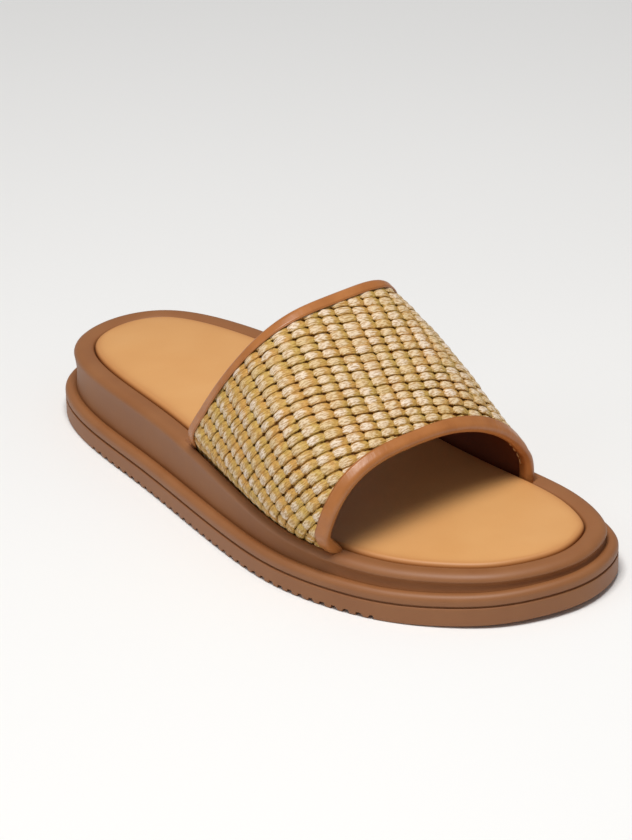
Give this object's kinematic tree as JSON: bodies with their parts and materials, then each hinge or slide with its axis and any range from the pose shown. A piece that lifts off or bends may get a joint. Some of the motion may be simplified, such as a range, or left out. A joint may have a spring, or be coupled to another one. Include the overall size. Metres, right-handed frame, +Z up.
{
  "type": "flatform sandal",
  "caption": "Slip-on flatform sandal for the right foot: grooved moulded sole with a wave-shaped rim, padded insole and one wide woven strap with leather-bound edges.",
  "frame": {"origin": "centre of the bounding box's bottom face, on the floor under the sole", "axes": "+Z up, toe towards -Y and heel towards +Y, lateral side towards -X and medial side towards +X"},
  "size_m": [0.1094, 0.262, 0.0876],
  "materials": {
    "sole_rubber": "matt moulded",
    "insole_leather": "soft matt leather",
    "woven_straw": "woven straw",
    "binding_leather": "smooth satin leather"
  },
  "bodies": {
    "root": {"outsole": "sole_rubber", "midsole": "sole_rubber", "insole": "insole_leather", "upper": "woven_straw", "front_binding": "binding_leather", "rear_binding": "binding_leather"}
  },
  "joints": []
}
